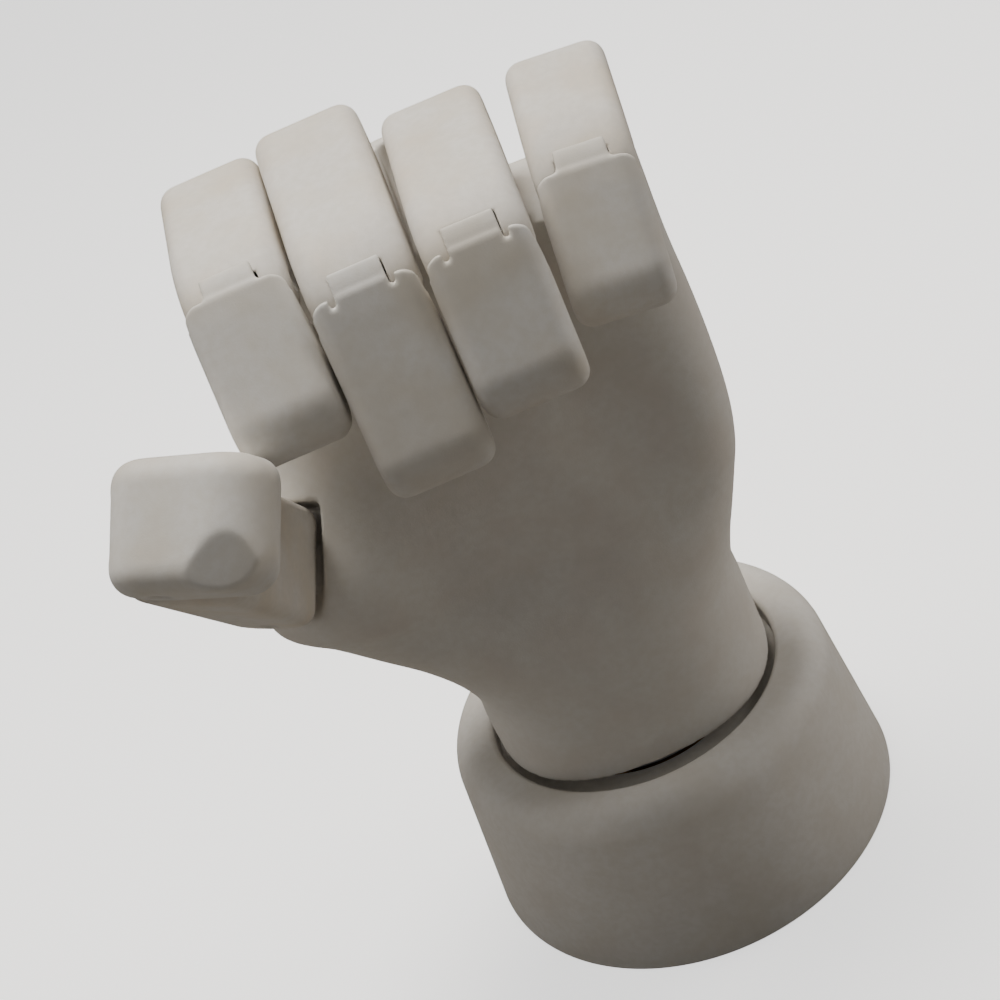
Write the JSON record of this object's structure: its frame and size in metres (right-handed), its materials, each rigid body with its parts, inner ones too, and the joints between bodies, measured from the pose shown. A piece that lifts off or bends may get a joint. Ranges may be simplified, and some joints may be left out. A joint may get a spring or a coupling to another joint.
{
  "type": "prosthetic hand",
  "caption": "Left prosthetic hand with block fingers hinged at the knuckle and middle joint, a folding thumb, a smooth palm shell and a turning wrist collar.",
  "frame": {"origin": "centre of the collar's flat underside", "axes": "+Z along the hand towards the fingertips of an open hand, -Y out of the palm, -X on the thumb side"},
  "size_m": [0.1159, 0.1217, 0.1912],
  "materials": {
    "white_nylon": "fine-grained off-white sintered nylon, faces smoothed, uncoated",
    "steel": "ground stainless pins, screws and spring wire",
    "bronze": "turned bearing bronze",
    "aluminium": "turned, plain",
    "dark_acetal": "machined acetal",
    "braided_cord": "braided polyethylene cord"
  },
  "bodies": {
    "collar": {"wrist_collar": "white_nylon", "adapter_plate": "aluminium", "adapter_screw_1": "steel", "adapter_screw_2": "steel", "adapter_screw_3": "steel", "neck_bush": "bronze"},
    "palm": {"palm_shell": "white_nylon", "back_cover": "white_nylon", "cover_screw_low_left": "steel", "cover_screw_low_right": "steel", "cover_screw_high_left": "steel", "cover_screw_high_right": "steel", "neck_spigot": "aluminium", "retaining_washer": "steel", "centre_screw": "steel", "guide_plate": "dark_acetal", "index_cord": "braided_cord", "middle_cord": "braided_cord", "ring_cord": "braided_cord", "little_cord": "braided_cord", "index_spring": "steel", "middle_spring": "steel", "ring_spring": "steel", "little_spring": "steel"},
    "index_proximal": {"index_proximal": "white_nylon", "index_knuckle_pin": "steel", "index_middle_pin": "steel"},
    "index_distal": {"index_distal": "white_nylon"},
    "index_carrier": {"index_carrier": "dark_acetal"},
    "middle_proximal": {"middle_proximal": "white_nylon", "middle_knuckle_pin": "steel", "middle_middle_pin": "steel"},
    "middle_distal": {"middle_distal": "white_nylon"},
    "middle_carrier": {"middle_carrier": "dark_acetal"},
    "ring_proximal": {"ring_proximal": "white_nylon", "ring_knuckle_pin": "steel", "ring_middle_pin": "steel"},
    "ring_distal": {"ring_distal": "white_nylon"},
    "ring_carrier": {"ring_carrier": "dark_acetal"},
    "little_proximal": {"little_proximal": "white_nylon", "little_knuckle_pin": "steel", "little_middle_pin": "steel"},
    "little_distal": {"little_distal": "white_nylon"},
    "little_carrier": {"little_carrier": "dark_acetal"},
    "thumb_proximal": {"thumb_proximal": "white_nylon", "thumb_base_pin": "steel"},
    "thumb_distal": {"thumb_distal": "white_nylon", "thumb_knuckle_pin": "steel"}
  },
  "joints": [
    {"name": "wrist_turn", "type": "hinge", "parent": "collar", "child": "palm", "pos_m": [0, 0, 0.04], "axis": [0, 0, 1], "range_deg": [-90, 90]},
    {"name": "index_knuckle", "type": "hinge", "parent": "palm", "child": "index_proximal", "pos_m": [-0.0319, 0.0016, 0.1799], "axis": [0.9995, 0.0279, -0.0174], "range_deg": [-92.5, 6], "stiffness_Nm_per_rad": 0.12},
    {"name": "index_middle", "type": "hinge", "parent": "index_proximal", "child": "index_distal", "pos_m": [-0.031, -0.03155, 0.17844], "axis": [0.9995, 0.0279, -0.0174], "range_deg": [-49.5, 4.15]},
    {"name": "index_carrier_slide", "type": "slide", "parent": "palm", "child": "index_carrier", "axis": [0, 0, 1], "range_m": [-0.001, 0.015], "deforming": ["index_cord", "index_spring"]},
    {"name": "middle_knuckle", "type": "hinge", "parent": "palm", "child": "middle_proximal", "pos_m": [-0.0113, 0.0006, 0.1821], "axis": [0.9992, 0.0349, -0.0209], "range_deg": [-102, 6], "stiffness_Nm_per_rad": 0.12},
    {"name": "middle_middle", "type": "hinge", "parent": "middle_proximal", "child": "middle_distal", "pos_m": [-0.01017, -0.03635, 0.17422], "axis": [0.9992, 0.0349, -0.0209], "range_deg": [-55, 4.18]},
    {"name": "middle_carrier_slide", "type": "slide", "parent": "palm", "child": "middle_carrier", "axis": [0, 0, 1], "range_m": [-0.001, 0.015], "deforming": ["middle_cord", "middle_spring"]},
    {"name": "ring_knuckle", "type": "hinge", "parent": "palm", "child": "ring_proximal", "pos_m": [0.0111, 0.0011, 0.1756], "axis": [0.9998, -0.0035, -0.0175], "range_deg": [-92.8, 6], "stiffness_Nm_per_rad": 0.12},
    {"name": "ring_middle", "type": "hinge", "parent": "ring_proximal", "child": "ring_distal", "pos_m": [0.01093, -0.03705, 0.17374], "axis": [0.9998, -0.0035, -0.0175], "range_deg": [-62.7, 4.99]},
    {"name": "ring_carrier_slide", "type": "slide", "parent": "palm", "child": "ring_carrier", "axis": [0, 0, 1], "range_m": [-0.001, 0.015], "deforming": ["ring_cord", "ring_spring"]},
    {"name": "little_knuckle", "type": "hinge", "parent": "palm", "child": "little_proximal", "pos_m": [0.0351, 0.0019, 0.174], "axis": [0.9946, -0.0698, -0.0765], "range_deg": [-103, 6], "stiffness_Nm_per_rad": 0.08},
    {"name": "little_middle", "type": "hinge", "parent": "little_proximal", "child": "little_distal", "pos_m": [0.0332, -0.01987, 0.16909], "axis": [0.9946, -0.0698, -0.0765], "range_deg": [-48, 3.74]},
    {"name": "little_carrier_slide", "type": "slide", "parent": "palm", "child": "little_carrier", "axis": [0, 0, 1], "range_m": [-0.001, 0.015], "deforming": ["little_cord", "little_spring"]},
    {"name": "thumb_base", "type": "hinge", "parent": "palm", "child": "thumb_proximal", "pos_m": [-0.05317, -0.01802, 0.11744], "axis": [0.375, 0.65, 0.661], "range_deg": [-22, 0]},
    {"name": "thumb_knuckle", "type": "hinge", "parent": "thumb_proximal", "child": "thumb_distal", "pos_m": [-0.0576, -0.0562, 0.1575], "axis": [0.375, 0.65, 0.661], "range_deg": [-70, 0]}
  ],
  "couplings": [
    {"joint": "index_middle", "follows": "index_knuckle", "ratio": 0.52432},
    {"joint": "index_carrier_slide", "follows": "index_knuckle", "m_per_rad": -0.0078},
    {"joint": "middle_middle", "follows": "middle_knuckle", "ratio": 0.52941},
    {"joint": "middle_carrier_slide", "follows": "middle_knuckle", "m_per_rad": -0.0078},
    {"joint": "ring_middle", "follows": "ring_knuckle", "ratio": 0.66487},
    {"joint": "ring_carrier_slide", "follows": "ring_knuckle", "m_per_rad": -0.0078},
    {"joint": "little_middle", "follows": "little_knuckle", "ratio": 0.45631},
    {"joint": "little_carrier_slide", "follows": "little_knuckle", "m_per_rad": -0.0078}
  ]
}
